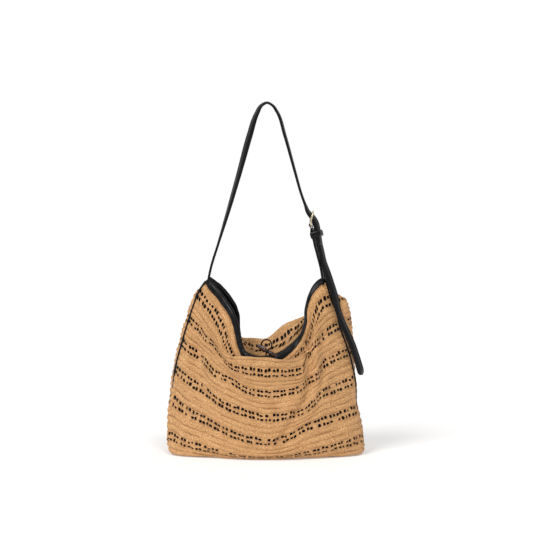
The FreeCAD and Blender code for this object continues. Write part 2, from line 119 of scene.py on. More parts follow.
def make_floor():
    """A wide pale floor."""
    line = np.linspace(-FLOOR_SIZE, FLOOR_SIZE, FLOOR_STEPS)
    verts = [(x, y, 0.0) for y in line for x in line]
    faces = [
        (k, k + 1, k + FLOOR_STEPS + 1, k + FLOOR_STEPS)
        for j in range(FLOOR_STEPS - 1)
        for k in range(j * FLOOR_STEPS, (j + 1) * FLOOR_STEPS - 1)
    ]
    mesh = bpy.data.meshes.new("floor")
    mesh.from_pydata(verts, [], faces)
    floor = bpy.data.objects.new("floor", mesh)
    bpy.context.scene.collection.objects.link(floor)
    material = bpy.data.materials.new("floor_white")
    material.use_nodes = True
    shader = material.node_tree.nodes["Principled BSDF"]
    shader.inputs["Base Color"].default_value = (0.93, 0.925, 0.92, 1)
    shader.inputs["Roughness"].default_value = 0.9
    shader.inputs["Emission Color"].default_value = (1, 1, 1, 1)
    shader.inputs["Emission Strength"].default_value = FLOOR_GLOW
    mesh.materials.append(material)


make_camera()
make_light()
make_floor()

# ---------------------------------------------------------------- materials


class Nodes:
    """Short calls that add nodes to one material."""

    def __init__(self, name):
        self.material = bpy.data.materials.new(name)
        self.material.use_nodes = True
        self.tree = self.material.node_tree
        self.shader = self.tree.nodes["Principled BSDF"]

    def add(self, kind, **settings):
        node = self.tree.nodes.new("ShaderNode" + kind)
        for key, value in settings.items():
            setattr(node, key, value)
        return node

    def link(self, source, target):
        self.tree.links.new(source, target)

    def feed(self, socket, source):
        self.link(source, self.shader.inputs[socket])

    def place(self, source, scale=(1, 1, 1), turn=0.0):
        """Coordinates from the UV map or the object, stretched by scale."""
        coordinates = self.add("TexCoord")
        mapping = self.add("Mapping")
        mapping.inputs["Scale"].default_value = scale
        mapping.inputs["Rotation"].default_value = (0, 0, math.radians(turn))
        self.link(coordinates.outputs[source], mapping.inputs["Vector"])
        return mapping.outputs["Vector"]

    def noise(self, vector, scale, detail=3.0):
        node = self.add("TexNoise")
        node.inputs["Scale"].default_value = scale
        node.inputs["Detail"].default_value = detail
        self.link(vector, node.inputs["Vector"])
        return node.outputs["Fac"]

    def ramp(self, factor, stops):
        node = self.add("ValToRGB")
        elements = node.color_ramp.elements
        while len(elements) < len(stops):
            elements.new(0.5)
        for element, (position, colour) in zip(elements, stops):
            element.position = position
            element.color = (*colour, 1)
        self.link(factor, node.inputs["Fac"])
        return node.outputs["Color"]

    def mix(self, first, second, factor, blend="MIX"):
        node = self.add("Mix", data_type="RGBA", blend_type=blend)
        node.inputs["Factor"].default_value = factor if isinstance(factor, float) else 0.5
        if not isinstance(factor, float):
            self.link(factor, node.inputs["Factor"])
        self.link(first, node.inputs[6])
        self.link(second, node.inputs[7])
        return node.outputs[2]

    def math(self, operation, first, second):
        node = self.add("Math", operation=operation)
        for socket, value in zip(node.inputs, (first, second)):
            if isinstance(value, float):
                socket.default_value = value
            else:
                self.link(value, socket)
        return node.outputs["Value"]

    def bump(self, height, distance, strength=1.0, under=None):
        node = self.add("Bump")
        node.inputs["Distance"].default_value = distance
        node.inputs["Strength"].default_value = strength
        self.link(height, node.inputs["Height"])
        if under is not None:
            self.link(under, node.inputs["Normal"])
        return node.outputs["Normal"]

    def set(self, **values):
        """Uniform values, straight on the shader's own sockets."""
        for key, value in values.items():
            self.shader.inputs[key.replace("_", " ")].default_value = value


def straw_material():
    """Crocheted straw yarn: short slanting fibres, warm tan with lighter and darker strands, and painted
    shade that darkens the colour in the grooves between ribs and inside the holes.
    """
    m = Nodes("straw_crochet")
    fibre_a = m.noise(m.place("UV", (14.0, 60.0, 1.0), 24), 1.0, 4.0)
    fibre_b = m.noise(m.place("UV", (14.0, 60.0, 1.0), -30), 1.0, 4.0)
    patch = m.noise(m.place("UV", (2.0, 3.0, 1.0)), 1.3, 2.0)
    strand = m.math("MAXIMUM", fibre_a, fibre_b)
    stitch = m.noise(m.place("UV", (21.0, 26.0, 1.0), 12), 1.0, 3.0)
    both = m.math("ADD", m.math("MULTIPLY", strand, 0.5), m.math("MULTIPLY", stitch, 0.5))
    tan = m.ramp(both, [
        (0.36, (0.27, 0.118, 0.038)),
        (0.47, (0.54, 0.28, 0.108)),
        (0.58, (0.80, 0.465, 0.21)),
        (0.70, (0.96, 0.70, 0.41)),
    ])
    warm = m.ramp(patch, [(0.35, (0.84, 0.80, 0.74)), (0.65, (1.0, 1.0, 1.0))])
    colour = m.mix(tan, warm, 1.0, "MULTIPLY")
    # Painted shade: a point attribute darkens the straw colour in the grooves and on the hole walls.
    painted_shade_input = m.add("Attribute", attribute_name="groove_shade")
    shade = m.ramp(painted_shade_input.outputs["Fac"], [(0.0, (1.0, 1.0, 1.0)), (1.0, (0.42, 0.32, 0.24))])
    m.feed("Base Color", m.mix(colour, shade, 1.0, "MULTIPLY"))
    m.feed("Normal", m.bump(strand, 0.0012, 0.9))
    m.feed("Roughness", m.ramp(strand, [(0.4, (0.85,) * 3), (0.8, (0.55,) * 3)]))
    m.set(Sheen_Weight=0.12, Specular_IOR_Level=0.35)
    return m.material


def leather_material():
    """Smooth black leather: fine grain, soft creases and a little wear in the gloss."""
    m = Nodes("black_leather")
    place = m.place("Object")
    cells = m.add("TexVoronoi", feature="DISTANCE_TO_EDGE")
    cells.inputs["Scale"].default_value = 900.0
    m.link(place, cells.inputs["Vector"])
    grain = m.ramp(cells.outputs["Distance"], [(0.0, (0, 0, 0)), (0.25, (1, 1, 1))])
    crease = m.noise(place, 60.0, 4.0)
    wear = m.noise(place, 14.0, 3.0)
    m.feed("Base Color", m.ramp(wear, [(0.35, (0.0012, 0.0012, 0.0013)), (0.7, (0.0036, 0.0036, 0.0038))]))
    m.feed("Roughness", m.ramp(crease, [(0.3, (0.20,) * 3), (0.7, (0.39,) * 3)]))
    under = m.bump(crease, 0.0009, 0.6)
    m.feed("Normal", m.bump(grain, 0.00003, 0.5, under))
    m.set(Specular_IOR_Level=0.5, Specular_Tint=(0.42, 0.42, 0.44, 1.0))
    return m.material


def lining_material():
    """Black cotton twill."""
    m = Nodes("black_twill")
    place = m.place("Object")
    wave = m.add("TexWave", bands_direction="DIAGONAL")
    wave.inputs["Scale"].default_value = 420.0
    wave.inputs["Distortion"].default_value = 0.6
    m.link(place, wave.inputs["Vector"])
    slub = m.noise(place, 90.0, 3.0)
    m.feed("Base Color", m.ramp(slub, [(0.3, (0.006, 0.006, 0.007)), (0.7, (0.016, 0.015, 0.015))]))
    m.feed("Normal", m.bump(wave.outputs["Fac"], 0.0003, 0.7))
    m.feed("Roughness", m.ramp(slub, [(0.3, (0.8,) * 3), (0.7, (0.95,) * 3)]))
    m.set(Sheen_Weight=0.1)
    return m.material


def metal_material():
    """Pale gold plating with fine rubbed scratches."""
    m = Nodes("pale_gold")
    place = m.place("Object", (1.0, 8.0, 1.0))
    rub = m.noise(place, 260.0, 4.0)
    tone = m.noise(m.place("Object"), 40.0, 2.0)
    m.feed("Base Color", m.ramp(tone, [(0.3, (0.72, 0.60, 0.40)), (0.7, (0.86, 0.76, 0.56))]))
    m.feed("Roughness", m.ramp(rub, [(0.3, (0.16,) * 3), (0.75, (0.38,) * 3)]))
    m.feed("Normal", m.bump(rub, 0.00005, 0.4))
    m.set(Metallic=1.0)
    return m.material


def horn_material():
    """Polished dark brown horn with streaks along its length."""
    m = Nodes("dark_horn")
    streak = m.noise(m.place("Object", (1.0, 4.0, 3.0)), 130.0, 4.0)
    cloud = m.noise(m.place("Object"), 70.0, 2.0)
    base = m.ramp(streak, [
        (0.35, (0.018, 0.006, 0.004)),
        (0.55, (0.060, 0.020, 0.010)),
        (0.75, (0.20, 0.085, 0.045)),
    ])
    tint = m.ramp(cloud, [(0.3, (0.7, 0.7, 0.7)), (0.7, (1.0, 1.0, 1.0))])
    m.feed("Base Color", m.mix(base, tint, 1.0, "MULTIPLY"))
    m.feed("Roughness", m.ramp(cloud, [(0.3, (0.18,) * 3), (0.7, (0.32,) * 3)]))
    m.feed("Normal", m.bump(streak, 0.0001, 0.5))
    m.set(Coat_Weight=0.5, Coat_Roughness=0.12)
    return m.material


def board_material():
    """Grey fibre board with flecks."""
    m = Nodes("fibre_board")
    fleck = m.noise(m.place("Object"), 500.0, 3.0)
    m.feed("Base Color", m.ramp(fleck, [(0.35, (0.10, 0.09, 0.08)), (0.65, (0.24, 0.22, 0.19))]))
    m.feed("Normal", m.bump(fleck, 0.0002, 0.5))
    m.feed("Roughness", m.ramp(fleck, [(0.3, (0.75,) * 3), (0.7, (0.95,) * 3)]))
    return m.material


STRAW = straw_material()
LEATHER = leather_material()
LINING = lining_material()
METAL = metal_material()
HORN = horn_material()
BOARD = board_material()

# ---------------------------------------------------------------- curves and meshes


def hermite(knots, values, at):
    """A smooth curve through values at the knots, read at the places in at."""
    knots = np.asarray(knots, float)
    values = np.asarray(values, float)
    at = np.clip(np.asarray(at, float), knots[0], knots[-1])
    gaps = np.diff(knots)
    wide = gaps.reshape((-1,) + (1,) * (values.ndim - 1))
    slopes = np.diff(values, axis=0) / wide
    tangents = np.empty_like(values)
    tangents[0] = slopes[0]
    tangents[-1] = slopes[-1]
    tangents[1:-1] = (slopes[:-1] * wide[1:] + slopes[1:] * wide[:-1]) / (wide[1:] + wide[:-1])
    i = np.clip(np.searchsorted(knots, at, side="right") - 1, 0, len(gaps) - 1)
    shape = (-1,) + (1,) * (values.ndim - 1)
    t = ((at - knots[i]) / gaps[i]).reshape(shape)
    g = gaps[i].reshape(shape)
    return (
        (1 + 2 * t) * (1 - t) ** 2 * values[i]
        + t * (1 - t) ** 2 * g * tangents[i]
        + t * t * (3 - 2 * t) * values[i + 1]
        - t * t * (1 - t) * g * tangents[i + 1]
    )


def chord(points):
    """Each point's share of the way along the line through all of them."""
    steps = np.linalg.norm(np.diff(np.asarray(points, float), axis=0), axis=1)
    return np.concatenate([[0], np.cumsum(steps)]) / steps.sum()


def along(points, shares):
    """Points of the smooth line through points, at shares of its length."""
    return hermite(chord(points), points, shares)


def full_turn(count):
    """Angles evenly round a circle."""
    return np.linspace(0, 2 * np.pi, count, endpoint=False)


def unit(vectors):
    return vectors / np.maximum(np.linalg.norm(vectors, axis=-1, keepdims=True), 1e-9)


def surface(rows, shares, levels):
    """The sheet through rows, each a height in the fabric and the points across it."""
    lines = np.stack([along(points, shares) for _, points in rows])
    return hermite([level for level, _ in rows], lines, levels)


def normals(grid):
    """Unit normals of a grid of points: across times up."""
    return unit(np.cross(np.gradient(grid, axis=1), np.gradient(grid, axis=0)))


def piece(name, verts, faces, material, body, slot, replaced=()):
    """A mesh object from points in millimetres, riding on a body unless body is None."""
    mesh = bpy.data.meshes.new(name)
    mesh.from_pydata((np.asarray(verts, float) * MM).tolist(), [], [tuple(f) for f in faces])
    mesh.polygons.foreach_set("use_smooth", np.ones(len(mesh.polygons), bool))
    mesh.materials.append(material)
    mesh.update()
    shape = bpy.data.objects.new(name, mesh)
    bpy.context.scene.collection.objects.link(shape)
    if body:
        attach(shape, body)
    if replaced:
        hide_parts(*replaced)
    return shape


def grid_faces(rows, columns, flip=False, wrap=False):
    """Quads between the points of a grid, as an array with one row per quad."""
    last = columns if wrap else columns - 1
    j, i = np.meshgrid(np.arange(rows - 1), np.arange(last), indexing="ij")
    k = (i + 1) % columns
    quads = np.stack([j * columns + i, j * columns + k, (j + 1) * columns + k, (j + 1) * columns + i], -1)
    quads = quads.reshape(-1, 4)
    return quads[:, ::-1] if flip else quads


class Build:
    """Collects the parts of one mesh."""

    def __init__(self):
        self.verts = []
        self.faces = []
        self.count = 0

    def add(self, verts, faces):
        verts = np.asarray(verts, float).reshape(-1, 3)
        self.verts.append(verts)
        self.faces.extend(tuple(int(v) + self.count for v in face) for face in faces)
        self.count += len(verts)

    def mesh(self):
        """The points and faces of all parts."""
        return np.concatenate(self.verts), self.faces

    def tube(self, rings):
        """A closed tube through rings of points, capped at both ends."""
        rows, columns = rings.shape[:2]
        faces = [tuple(f) for f in grid_faces(rows, columns, wrap=True)]
        faces.append(tuple(range(columns))[::-1])
        faces.append(tuple((rows - 1) * columns + i for i in range(columns)))
        self.add(rings, faces)

    def ring(self, rings):
        """A tube through rings of points whose last ring joins the first."""
        rows, columns = rings.shape[:2]
        closed = np.concatenate([grid_faces(rows, columns, wrap=True), np.stack([
            (rows - 1) * columns + np.arange(columns),
            (rows - 1) * columns + (np.arange(columns) + 1) % columns,
            (np.arange(columns) + 1) % columns,
            np.arange(columns)], -1)])
        self.add(rings, closed)

    def stitch(self, start, end, radius):
        """One small thread lying between two points."""
        start = np.asarray(start, float)
        end = np.asarray(end, float)
        way = unit(end - start)
        side = unit(np.cross(way, (0.31, 0.52, 0.79)))
        other = np.cross(way, side)
        turn = full_turn(6)
        circle = np.cos(turn)[:, None] * side + np.sin(turn)[:, None] * other
        stations = ((0.0, 0.35), (0.25, 1.0), (0.75, 1.0), (1.0, 0.35))
        rings = [start + (end - start) * s + circle * radius * r for s, r in stations]
        self.tube(np.stack(rings))


def wobble(rows, columns, coarse_rows, coarse_columns):
    """Smooth hand-made unevenness between -1 and 1 over a grid."""
    coarse = rng.uniform(-1, 1, (coarse_rows, coarse_columns))
    up = hermite(np.arange(coarse_rows), coarse, np.linspace(0, coarse_rows - 1, rows))
    across = hermite(np.arange(coarse_columns), up.T, np.linspace(0, coarse_columns - 1, columns))
    return across.T


# ---------------------------------------------------------------- the crochet bag

# Heights in the fabric are counted in pattern repeats from the base. A pair of openwork rows is
# centred on every whole number, and three solid ribs lie between two pairs.
REPEAT = 58.0
ROW_CELLS = 8
REPEAT_CELLS = 40
PAIR_CELLS = 12
PAIRS = 26
PANEL_WIDTH = 430.0
BOTTOM = 0.4
TOP = 6.45
STITCH_CELLS = 3.3
STITCH_HEIGHT = 0.5
RIB_HEIGHT = 2.5
OPEN_RIB_HEIGHT = 0.9
HOLE_DEPTH = 2.4

# The shares of the holes that are a cell taller, a cell wider, and closed up.
TALL_HOLES = 0.75
WIDE_HOLES = 0.85
CLOSED_HOLES = 0.06

# How far a hole's rim is pulled outwards at its corners, its upright sides and its level sides.
CORNER_PULL = 1.06
UPRIGHT_PULL = 1.42
LEVEL_PULL = 1.16

# The front: every row of points runs from the left seam to the right seam.
FRONT_ROWS = [
    (0.4, [(-187, 8, 6), (-196, -6, 6), (-188, -24, 4), (-160, -40, 2.5), (-110, -50, 2), (-50, -57, 1.5),
           (0, -60, 1.5), (50, -58, 1.5), (110, -51, 2), (160, -40, 2.5), (188, -24, 4), (197, -6, 6),
           (190, 8, 6)]),
    (1.0, [(-195, 12, 36), (-202, 0, 35), (-191, -14, 36), (-169, -32, 28), (-140, -48, 22), (-112, -58, 16),
           (-80, -67, 10), (-50, -72, 6), (-20, -75, 4), (26, -75, 6), (59, -73, 9), (91, -68, 14),
           (117, -61, 19), (150, -48, 25), (182, -26, 30), (197, -6, 32), (196, 12, 34)]),
    (2.0, [(-192, 5, 111), (-195, -5, 111), (-186, -13, 106), (-170, -25, 94), (-147, -39, 83),
           (-120, -51, 74), (-96, -60, 63), (-70, -68, 51), (-40, -76, 42), (-17, -79, 38), (13, -79, 36),
           (42, -76, 44), (71, -70, 60), (88, -64, 67), (112, -55, 73), (138, -43, 79), (170, -25, 87),
           (184, -9, 92), (184, 5, 92)]),
    (3.0, [(-184, -18, 174), (-176, -22, 167), (-155, -32, 151), (-134, -42, 139), (-107, -54, 121),
           (-90, -62, 110), (-63, -70, 99), (-33, -75, 90), (-14, -76, 84), (17, -76, 83), (42, -75, 87),
           (70, -70, 93), (90, -62, 107), (108, -53, 126), (120, -48, 131), (147, -36, 140), (168, -24, 147),
           (179, -16, 151)]),
    (4.0, [(-170, -24, 227), (-161, -26, 217), (-148, -30, 208), (-135, -35, 200), (-123, -42, 193),
           (-106, -52, 171), (-88, -60, 162), (-66, -64, 153), (-50, -65, 142), (-26, -67, 132),
           (-5, -67, 129), (26, -67, 130), (50, -66, 134), (68, -63, 139), (84, -58, 154), (101, -53, 162),
           (110, -48, 178), (119, -42, 188), (133, -35, 194), (154, -26, 204), (165, -22, 209)]),
    (5.0, [(-156, -22, 275), (-147, -23, 266), (-134, -27, 254), (-122, -33, 238), (-109, -40, 229),
           (-89, -49, 202), (-70, -58, 181), (-54, -63, 176), (-32, -68, 172), (-5, -71, 169), (25, -71, 169),
           (48, -67, 170), (70, -61, 174), (82, -52, 198), (95, -42, 223), (109, -35, 235), (128, -27, 250),
           (147, -21, 260)]),
    (5.6, [(-148, -17, 300), (-133, -22, 283), (-118, -28, 262), (-105, -34, 245), (-95, -42, 226),
           (-84, -51, 209), (-72, -59, 204), (-50, -68, 203), (-25, -73, 202), (0, -75, 201), (25, -75, 198),
           (48, -70, 198), (62, -61, 201), (74, -54, 208), (84, -46, 220), (92, -38, 240), (100, -32, 257),
           (112, -26, 274), (126, -20, 286), (140, -15, 291)]),
    (6.0, [(-138, -12, 328), (-131, -12, 315), (-117, -17, 300), (-106, -22, 285), (-97, -28, 269),
           (-90, -34, 255), (-85, -40, 239), (-79, -47, 222), (-70, -54, 205), (-52, -60, 190),
           (-25, -61, 183), (0, -61, 182), (25, -61, 183), (46, -59, 190), (58, -54, 199), (66, -50, 204),
           (75, -46, 214), (83, -42, 224), (91, -36, 243), (95, -30, 263), (102, -24, 282), (112, -18, 301),
           (131, -12, 312)]),
]

# The mouth edges: where the crochet ends, and the outer rim of the leather that binds it.
FRONT_EDGE = [
    ((-124, -4, 350), (-114, 2, 357)),
    ((-117, -9, 337), (-106, -3, 345)),
    ((-102, -14, 320), (-92, -9, 329)),
    ((-88, -20, 302), (-77, -15, 308)),
    ((-73, -29, 280), (-63, -24, 285)),
    ((-66, -35, 261), (-56, -30, 264)),
    ((-61, -42, 240), (-52, -37, 242)),
    ((-56, -48, 220), (-48, -44, 225)),
    ((-49, -53, 204), (-41, -49, 211)),
    ((-35, -56, 192), (-30, -54, 203)),
    ((-12, -57, 189), (-10, -55, 200.5)),
    ((12, -57, 190), (11, -55, 200)),
    ((31, -56, 198), (26, -53, 207)),
    ((44.5, -53, 207.5), (38.5, -48, 215.5)),
    ((57, -49, 220), (51.5, -43, 226)),
    ((66, -45, 233), (61.5, -37, 236)),
    ((72, -40, 244), (69, -30, 246)),
    ((76.5, -32, 257), (74.5, -21, 258)),
    ((80, -26, 271), (78, -14, 271)),
    ((80, -21, 289), (78.5, -9, 289)),
    ((83, -17, 301), (81, -6, 305)),
    ((89, -14, 318), (86, -4, 323)),
    ((97, -11, 330), (92, -3, 338)),
    ((109, -8, 343), (103, 0, 351)),
    ((121, -4, 350), (113, 3, 358)),
]
BACK_EDGE = [
    ((-124, -4, 350), (-114, 4, 359)),
    ((-103, 9, 335), (-93, 8, 343)),
    ((-86, 15, 315), (-76, 13, 324)),
    ((-72, 18, 294), (-61, 15, 300)),
    ((-66, 18, 275), (-55, 15, 279)),
    ((-65, 17, 255), (-54, 13, 256)),
    ((-62, 15, 236), (-51, 10, 235)),
    ((-55, 11, 217), (-46, 5, 214)),
    ((-42, 6, 203), (-37, 0, 195)),
    ((-25, 4, 195), (-22, -3, 185)),
    ((0, 3, 193), (0, -4, 183)),
    ((25, 4, 198), (23, -3, 188)),
    ((45, 6, 212), (43, 0, 202)),
    ((60, 8, 225), (58, 2, 215)),
    ((72, 12, 240), (71, 6, 230)),
    ((84, 19, 262), (82, 13, 252)),
    ((94, 20, 284), (90, 14, 277)),
    ((103, 16, 306), (97, 12, 303)),
    ((112, 9, 328), (105, 7, 331)),
    ((121, -4, 350), (113, 4, 357)),
]

# The back: it bulges past the seams, and its top edge has folded over into the mouth.
BACK_ROWS = [
    (0.4, [(-187, 8, 6), (-196, 22, 5), (-186, 40, 3), (-150, 50, 2), (-80, 58, 1.5), (0, 60, 1.5),
           (80, 58, 1.5), (150, 50, 2), (184, 40, 3), (196, 22, 5), (190, 8, 6)]),
    (1.0, [(-195, 12, 36), (-203, 28, 34), (-194, 46, 32), (-155, 62, 28), (-80, 73, 22), (0, 77, 20),
           (80, 73, 21), (155, 62, 26), (190, 46, 30), (200, 28, 32), (196, 12, 34)]),
    (2.0, [(-192, 5, 111), (-199, 20, 108), (-192, 40, 102), (-155, 62, 92), (-80, 76, 78), (0, 80, 67),
           (80, 76, 72), (150, 62, 88), (182, 42, 96), (187, 22, 98), (184, 5, 92)]),
    (3.0, [(-184, -18, 174), (-190, 0, 172), (-188, 22, 168), (-160, 48, 156), (-85, 68, 130), (0, 75, 115),
           (85, 70, 123), (150, 52, 146), (176, 30, 156), (182, 8, 158), (179, -16, 151)]),
    (4.0, [(-170, -24, 227), (-176, -6, 228), (-175, 18, 222), (-150, 42, 208), (-85, 62, 178), (0, 69, 161),
           (85, 64, 174), (140, 52, 202), (170, 30, 216), (178, 6, 218), (165, -22, 209)]),
    (5.0, [(-156, -22, 275), (-163, -4, 276), (-160, 16, 270), (-135, 38, 250), (-80, 56, 222), (0, 62, 201),
           (70, 58, 223), (125, 48, 250), (160, 30, 266), (173, 8, 270), (147, -21, 260)]),
    (5.6, [(-148, -17, 300), (-155, 2, 303), (-150, 18, 298), (-128, 34, 276), (-100, 44, 252),
           (-72, 48, 236), (-50, 42, 231), (-25, 37, 231), (0, 36, 231), (20, 37, 246), (33, 38, 257),
           (55, 38, 267), (80, 42, 275), (110, 44, 281), (140, 36, 290), (162, 22, 300), (167, 6, 300),
           (158, -8, 294), (140, -15, 291)]),
    (6.0, [(-138, -12, 328), (-143, -2, 328), (-137, 8, 322), (-122, 22, 308), (-104, 32, 288),
           (-84, 38, 264), (-66, 36, 244), (-48, 26, 226), (-28, 16, 214), (0, 15, 214), (23, 15, 223),
           (45, 14, 237), (66, 17, 254), (88, 30, 280), (112, 38, 294), (142, 32, 305), (158, 16, 314),
           (152, 0, 318), (131, -12, 312)]),
]

# Soft folds of the front: a line across and up, how far it stands out, and its half width.
FOLDS = [
    ([(88, 255), (86, 225), (86, 190), (87, 150), (76, 116), (50, 76), (25, 40)], -7.5, 6.0),
    ([(99, 252), (97, 205), (98, 165)], 6.0, 5.5),
    ([(115, 200), (110, 150)], -4.0, 5.0),
    ([(-121, 238), (-118, 187)], 6.5, 6.0),
    ([(-140, 214), (-138, 208)], -5.5, 11.0),
    ([(-92, 250), (-82, 226), (-70, 207)], -4.0, 7.0),
    ([(-150, 122), (-92, 78), (-35, 58)], 2.5, 9.0),
    ([(-160, 80), (-100, 44), (-40, 24)], -2.5, 8.0),
    ([(40, 150), (-30, 152)], -3.0, 14.0),
    ([(150, 190), (120, 160), (105, 120)], 2.5, 8.0),
]


def fold_height(x, z, line, height, half_width):
    """How far a fold moves each point of the sheet outwards."""
    near = np.full(x.shape, 1e9)
    line = np.asarray(line, float)
    for start, end in zip(line[:-1], line[1:]):
        way = end - start
        share = ((x - start[0]) * way[0] + (z - start[1]) * way[1]) / (way @ way)
        share = np.clip(share, 0, 1)
        gap = (x - start[0] - share * way[0]) ** 2 + (z - start[1] - share * way[1]) ** 2
        near = np.minimum(near, gap)
    return height * np.exp(-near / (2 * half_width**2))


def row_phase(steps):
    """For every line of cells: its place in its crochet row, and whether that row is open."""
    place = (steps % ROW_CELLS) / ROW_CELLS
    row = (steps // ROW_CELLS) % (REPEAT_CELLS // ROW_CELLS)
    return place, (row == 0) | (row == 4)


def rib_height(steps, columns):
    """The relief of the ribs, the flatter open rows and the single stitches."""
    place, is_open = row_phase(steps)
    rib = np.sin(np.pi * place) ** 0.8
    height = np.where(is_open, OPEN_RIB_HEIGHT * rib - 0.6, RIB_HEIGHT * rib - 0.7)
    height = np.convolve(np.pad(height, 1, mode="edge"), (0.2, 0.6, 0.2), "valid")
    row = steps // ROW_CELLS
    lean = (place[:, None] - 0.5) * np.where(row % 2 == 0, 1.4, -1.4)[:, None]
    turns = np.arange(columns)[None, :] / STITCH_CELLS + lean + 0.37 * row[:, None]
    stitch = np.sin(2 * np.pi * turns)
    uneven = 0.8 + 0.35 * wobble(len(steps), columns, 30, 22)
    return height[:, None] * uneven + STITCH_HEIGHT * stitch * rib[:, None]


def crochet(name, rows, body_nodes, outward, folds=()):
    """One crochet panel with its ribs, stitches and pairs of holes."""
    columns = PAIRS * PAIR_CELLS + 1
    steps = np.arange(round(BOTTOM * REPEAT_CELLS), round(TOP * REPEAT_CELLS) + 1)
    shares = np.linspace(0, 1, columns)
    grid = surface(rows, shares, steps / REPEAT_CELLS)
    out = normals(grid) * outward
    soft = sum(fold_height(grid[..., 0], grid[..., 2], *fold) for fold in folds)
    soft = soft + 1.3 * wobble(len(steps), columns, 14, 16)
    calm = np.clip(np.minimum(shares, 1 - shares) / 0.03, 0, 1)[None, :]
    calm = calm * np.clip((TOP - steps / REPEAT_CELLS) / 0.2, 0, 1)[:, None]
    grid = grid + out * (soft * calm)[..., None]
    up = np.gradient(grid, axis=0)
    across = np.gradient(grid, axis=1)
    out = normals(grid) * outward
    relief = rib_height(steps, columns)
    shift_up = 0.55 * wobble(len(steps), columns, 60, 75) * calm
    shift_across = 0.35 * wobble(len(steps), columns, 40, 90) * calm
    grid = grid + up * shift_up[..., None] + across * shift_across[..., None]
    grid = grid + out * (relief * np.clip(calm + 0.4, 0, 1))[..., None]

    keep = np.ones((len(steps) - 1, columns - 1), bool)
    rims = []
    for j in range(len(steps) - ROW_CELLS):
        if steps[j] % ROW_CELLS or not row_phase(steps[j : j + 1])[1][0]:
            continue
        for pair in range(PAIRS):
            jog = int(rng.integers(0, 2))
            for first in (1, 6):
                left = pair * PAIR_CELLS + first + jog
                low = j + 2 + int(rng.integers(0, 2))
                high = low + (4 if rng.random() < TALL_HOLES else 3)
                right = left + (3 if rng.random() < WIDE_HOLES else 2)
                if rng.random() < CLOSED_HOLES:
                    continue
                keep[low:high, left:right] = False
                rims.append((low, high, left, right))

    index = np.arange(grid.shape[0] * columns).reshape(grid.shape[:2])
    quads = grid_faces(grid.shape[0], columns, flip=outward < 0)[keep.ravel()]
    place, is_open = row_phase(steps)
    # Painted shade for the straw colour: darkest where two crochet rows meet, lighter across the open rows,
    # with a random strength.
    seam = np.exp(-(np.minimum(place, 1 - place) / 0.11) ** 2)
    strength = 0.55 + 0.45 * wobble(len(steps), columns, 34, 26)
    flat_groove_shade = np.where(is_open, 0.10 + 0.35 * seam, seam)[:, None] * strength
    extra = []
    extra_uv = []
    extra_faces = []
    count = grid.shape[0] * columns
    uv = np.stack(np.broadcast_arrays(
        shares[None, :] * PANEL_WIDTH / REPEAT, (steps / REPEAT_CELLS)[:, None]), -1)
    for low, high, left, right in rims:
        ring = [(low, i) for i in range(left, right)]
        ring += [(j, right) for j in range(low, high)]
        ring += [(high, i) for i in range(right, left, -1)]
        ring += [(j, left) for j in range(high, low, -1)]
        rows_at = np.array([r[0] for r in ring])
        columns_at = np.array([r[1] for r in ring])
        place = grid[rows_at, columns_at]
        middle = place.mean(0)
        corner = ((rows_at == low) | (rows_at == high)) & ((columns_at == left) | (columns_at == right))
        upright = (columns_at == left) | (columns_at == right)
        pull = np.where(corner, CORNER_PULL, np.where(upright, UPRIGHT_PULL, LEVEL_PULL))[:, None]
        place = middle + (place - middle) * pull
        grid[rows_at, columns_at] = place
        deep = middle + (place - middle) * 0.88 - out[rows_at, columns_at] * HOLE_DEPTH
        extra.append(deep)
        extra_uv.append(uv[rows_at, columns_at] + 0.02)
        around = index[rows_at, columns_at]
        size = len(ring)
        for k in range(size):
            n = (k + 1) % size
            quad = (around[n], around[k], count + k, count + n)
            extra_faces.append(quad if outward > 0 else quad[::-1])
        count += size

    verts = np.concatenate([grid.reshape(-1, 3)] + extra)
    faces = [tuple(f) for f in quads.tolist()] + [tuple(int(v) for v in f) for f in extra_faces]
    panel = piece(name, verts, faces, STRAW, "bag", "crochet", body_nodes)
    mesh = panel.data
    all_uv = np.concatenate([uv.reshape(-1, 2)] + extra_uv)
    # Painted shade: the walls of the holes are given the full darkening.
    groove_shade = np.concatenate([flat_groove_shade.ravel(), np.ones(count - grid.shape[0] * columns)])
    paint(mesh, all_uv, groove_shade)
    return panel


def paint(mesh, uv, groove_shade):
    """Stores the fabric coordinates, and the painted shade of each point that darkens the straw colour in
    grooves.
    """
    corner = np.zeros(len(mesh.loops), np.int64)
    mesh.loops.foreach_get("vertex_index", corner)
    layer = mesh.uv_layers.new(name="fabric")
    layer.data.foreach_set("uv", uv[corner].astype(np.float32).ravel())
    attribute = mesh.attributes.new("groove_shade", "FLOAT", "POINT")
    attribute.data.foreach_set("value", groove_shade.astype(np.float32))


def base_crochet():
    """The crochet under the bag, ribbed along its length."""
    columns = 160
    across = 60
    shares = np.linspace(0, 1, columns)
    front = along(FRONT_ROWS[0][1], shares)
    back = along(BACK_ROWS[0][1], shares)
    t = np.linspace(0, 1, across)[:, None, None]
    grid = front[None] * (1 - t) + back[None] * t
    rib = np.abs(np.sin(np.pi * 10 * t[..., 0]))
    stitch = np.sin(2 * np.pi * np.arange(columns)[None, :] / 2.6 + 9 * t[..., 0])
    grid[..., 2] = np.maximum(grid[..., 2] - 0.6 * rib - 0.2 * stitch + 0.4, 0.4)
    uv = np.stack(np.broadcast_arrays(shares[None, :] * PANEL_WIDTH / REPEAT, t[..., 0] * 2.0), -1)
    base = piece("base_crochet", grid.reshape(-1, 3), grid_faces(across, columns, flip=True).tolist(),
                 STRAW, "bag", "crochet", ("base_panel",))
    # Painted shade: the straw colour is darkened between the ribs.
    groove_shade = np.broadcast_to(np.clip(1 - 1.4 * rib, 0, 1), (across, columns))
    paint(base.data, uv.reshape(-1, 2), groove_shade.ravel())
    return base


